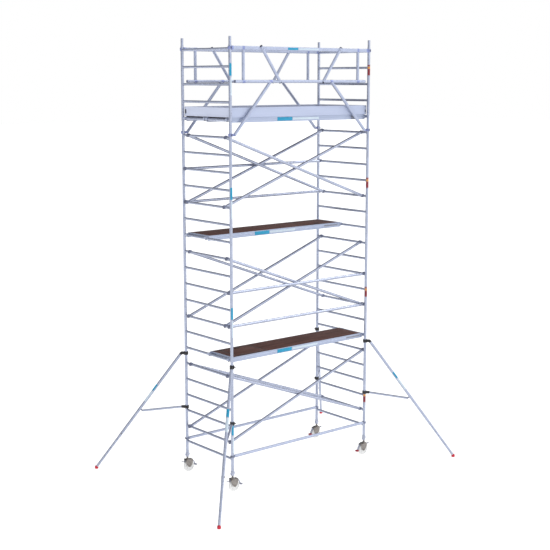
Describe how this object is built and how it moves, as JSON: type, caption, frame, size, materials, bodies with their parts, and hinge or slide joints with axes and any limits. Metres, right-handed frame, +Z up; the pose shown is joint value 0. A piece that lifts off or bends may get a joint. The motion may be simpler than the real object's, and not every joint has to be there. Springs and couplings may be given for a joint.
{
  "type": "mobile tower scaffold",
  "caption": "Tall rolling access tower of stacked aluminium ladder frames with braces, platforms, guard rails, toe boards, telescopic outriggers and braked casters.",
  "frame": {"origin": "on the ground, at the middle of the tower and of the outriggers' four feet", "axes": "+Z up; +X along the platforms; +Y across the tower towards its rear side"},
  "size_m": [5.4126, 3.6726, 7.4747],
  "materials": {
    "aluminium": "satin",
    "deck_frame": "phenolic film panel, matte, in satin aluminium beams",
    "plywood": "phenolic film, matte",
    "zinc_steel": "zinc plated",
    "wheel_nylon": "matte",
    "red_pedal": "matte",
    "outrigger_leg": "satin"
  },
  "bodies": {
    "tower": {"frame_left_1": "aluminium", "frame_left_2": "aluminium", "frame_left_3": "aluminium", "frame_left_4": "aluminium", "frame_right_1": "aluminium", "frame_right_2": "aluminium", "frame_right_3": "aluminium", "frame_right_4": "aluminium", "diagonal_front_1_falling": "aluminium", "diagonal_front_1_rising": "aluminium", "diagonal_front_2_falling": "aluminium", "diagonal_front_2_rising": "aluminium", "diagonal_front_3_falling": "aluminium", "diagonal_front_3_rising": "aluminium", "diagonal_rear_1_falling": "aluminium", "diagonal_rear_1_rising": "aluminium", "diagonal_rear_2_falling": "aluminium", "diagonal_rear_2_rising": "aluminium", "diagonal_rear_3_falling": "aluminium", "diagonal_rear_3_rising": "aluminium", "base_brace_front": "aluminium", "base_brace_rear": "aluminium", "handrail_front_knee": "aluminium", "handrail_front_hip": "aluminium", "handrail_rear_knee": "aluminium", "handrail_rear_hip": "aluminium", "deck_lower": "deck_frame", "deck_middle": "deck_frame", "deck_top_front": "deck_frame", "deck_top_rear": "deck_frame", "guard_rail_front": "aluminium", "guard_rail_rear": "aluminium", "toe_boards": "aluminium"},
    "hatch_lower": {"hatch_lower": "plywood"},
    "hatch_middle": {"hatch_middle": "plywood"},
    "hatch_top_rear": {"hatch_top_rear": "plywood"},
    "stem_front_left": {"spindle_front_left": "zinc_steel"},
    "fork_front_left": {"fork_front_left": "zinc_steel"},
    "wheel_front_left": {"wheel_front_left": "wheel_nylon"},
    "brake_front_left": {"brake_front_left": "red_pedal"},
    "outrigger_front_left": {"outrigger_front_left": "aluminium"},
    "outrigger_leg_front_left": {"outrigger_leg_front_left": "outrigger_leg"},
    "stem_rear_left": {"spindle_rear_left": "zinc_steel"},
    "fork_rear_left": {"fork_rear_left": "zinc_steel"},
    "wheel_rear_left": {"wheel_rear_left": "wheel_nylon"},
    "brake_rear_left": {"brake_rear_left": "red_pedal"},
    "outrigger_rear_left": {"outrigger_rear_left": "aluminium"},
    "outrigger_leg_rear_left": {"outrigger_leg_rear_left": "outrigger_leg"},
    "stem_front_right": {"spindle_front_right": "zinc_steel"},
    "fork_front_right": {"fork_front_right": "zinc_steel"},
    "wheel_front_right": {"wheel_front_right": "wheel_nylon"},
    "brake_front_right": {"brake_front_right": "red_pedal"},
    "outrigger_front_right": {"outrigger_front_right": "aluminium"},
    "outrigger_leg_front_right": {"outrigger_leg_front_right": "outrigger_leg"},
    "stem_rear_right": {"spindle_rear_right": "zinc_steel"},
    "fork_rear_right": {"fork_rear_right": "zinc_steel"},
    "wheel_rear_right": {"wheel_rear_right": "wheel_nylon"},
    "brake_rear_right": {"brake_rear_right": "red_pedal"},
    "outrigger_rear_right": {"outrigger_rear_right": "aluminium"},
    "outrigger_leg_rear_right": {"outrigger_leg_rear_right": "outrigger_leg"}
  },
  "joints": [
    {"name": "hatch_lower_hinge", "type": "hinge", "parent": "tower", "child": "hatch_lower", "pos_m": [-1.01, -0.542, 2.285], "axis": [1, 0, 0], "range_deg": [0, 85]},
    {"name": "hatch_middle_hinge", "type": "hinge", "parent": "tower", "child": "hatch_middle", "pos_m": [1.01, 0.542, 4.245], "axis": [-1, 0, 0], "range_deg": [0, 85]},
    {"name": "hatch_top_rear_hinge", "type": "hinge", "parent": "tower", "child": "hatch_top_rear", "pos_m": [-1.01, 0.542, 6.205], "axis": [-1, 0, 0], "range_deg": [0, 85]},
    {"name": "stem_front_left_slide", "type": "slide", "parent": "tower", "child": "stem_front_left", "axis": [0, 0, -1], "range_m": [0, 0.25]},
    {"name": "caster_front_left_swivel", "type": "hinge", "parent": "stem_front_left", "child": "fork_front_left", "pos_m": [-1.52, -0.65, 0.222], "axis": [0, 0, 1], "continuous": true},
    {"name": "wheel_front_left_spin", "type": "hinge", "parent": "fork_front_left", "child": "wheel_front_left", "pos_m": [-1.492, -0.65, 0.1], "axis": [0, 1, 0], "continuous": true},
    {"name": "brake_front_left_press", "type": "hinge", "parent": "fork_front_left", "child": "brake_front_left", "pos_m": [-1.438, -0.65, 0.202], "axis": [0, 1, 0], "range_deg": [0, 6]},
    {"name": "outrigger_front_left_swivel", "type": "hinge", "parent": "tower", "child": "outrigger_front_left", "pos_m": [-1.52, -0.65, 1.18], "axis": [0, 0, 1], "range_deg": [-45, 45]},
    {"name": "outrigger_front_left_telescope", "type": "slide", "parent": "outrigger_front_left", "child": "outrigger_leg_front_left", "axis": [-0.4189, -0.4189, -0.8056], "range_m": [0, 0.3]},
    {"name": "stem_rear_left_slide", "type": "slide", "parent": "tower", "child": "stem_rear_left", "axis": [0, 0, -1], "range_m": [0, 0.25]},
    {"name": "caster_rear_left_swivel", "type": "hinge", "parent": "stem_rear_left", "child": "fork_rear_left", "pos_m": [-1.52, 0.65, 0.222], "axis": [0, 0, 1], "continuous": true},
    {"name": "wheel_rear_left_spin", "type": "hinge", "parent": "fork_rear_left", "child": "wheel_rear_left", "pos_m": [-1.492, 0.65, 0.1], "axis": [0, 1, 0], "continuous": true},
    {"name": "brake_rear_left_press", "type": "hinge", "parent": "fork_rear_left", "child": "brake_rear_left", "pos_m": [-1.438, 0.65, 0.202], "axis": [0, 1, 0], "range_deg": [0, 6]},
    {"name": "outrigger_rear_left_swivel", "type": "hinge", "parent": "tower", "child": "outrigger_rear_left", "pos_m": [-1.52, 0.65, 1.18], "axis": [0, 0, 1], "range_deg": [-45, 45]},
    {"name": "outrigger_rear_left_telescope", "type": "slide", "parent": "outrigger_rear_left", "child": "outrigger_leg_rear_left", "axis": [-0.4189, 0.4189, -0.8056], "range_m": [0, 0.3]},
    {"name": "stem_front_right_slide", "type": "slide", "parent": "tower", "child": "stem_front_right", "axis": [0, 0, -1], "range_m": [0, 0.25]},
    {"name": "caster_front_right_swivel", "type": "hinge", "parent": "stem_front_right", "child": "fork_front_right", "pos_m": [1.52, -0.65, 0.222], "axis": [0, 0, 1], "continuous": true},
    {"name": "wheel_front_right_spin", "type": "hinge", "parent": "fork_front_right", "child": "wheel_front_right", "pos_m": [1.492, -0.65, 0.1], "axis": [0, -1, 0], "continuous": true},
    {"name": "brake_front_right_press", "type": "hinge", "parent": "fork_front_right", "child": "brake_front_right", "pos_m": [1.438, -0.65, 0.202], "axis": [0, -1, 0], "range_deg": [0, 6]},
    {"name": "outrigger_front_right_swivel", "type": "hinge", "parent": "tower", "child": "outrigger_front_right", "pos_m": [1.52, -0.65, 1.18], "axis": [0, 0, 1], "range_deg": [-45, 45]},
    {"name": "outrigger_front_right_telescope", "type": "slide", "parent": "outrigger_front_right", "child": "outrigger_leg_front_right", "axis": [0.4189, -0.4189, -0.8056], "range_m": [0, 0.3]},
    {"name": "stem_rear_right_slide", "type": "slide", "parent": "tower", "child": "stem_rear_right", "axis": [0, 0, -1], "range_m": [0, 0.25]},
    {"name": "caster_rear_right_swivel", "type": "hinge", "parent": "stem_rear_right", "child": "fork_rear_right", "pos_m": [1.52, 0.65, 0.222], "axis": [0, 0, 1], "continuous": true},
    {"name": "wheel_rear_right_spin", "type": "hinge", "parent": "fork_rear_right", "child": "wheel_rear_right", "pos_m": [1.492, 0.65, 0.1], "axis": [0, -1, 0], "continuous": true},
    {"name": "brake_rear_right_press", "type": "hinge", "parent": "fork_rear_right", "child": "brake_rear_right", "pos_m": [1.438, 0.65, 0.202], "axis": [0, -1, 0], "range_deg": [0, 6]},
    {"name": "outrigger_rear_right_swivel", "type": "hinge", "parent": "tower", "child": "outrigger_rear_right", "pos_m": [1.52, 0.65, 1.18], "axis": [0, 0, 1], "range_deg": [-45, 45]},
    {"name": "outrigger_rear_right_telescope", "type": "slide", "parent": "outrigger_rear_right", "child": "outrigger_leg_rear_right", "axis": [0.4189, 0.4189, -0.8056], "range_m": [0, 0.3]}
  ]
}
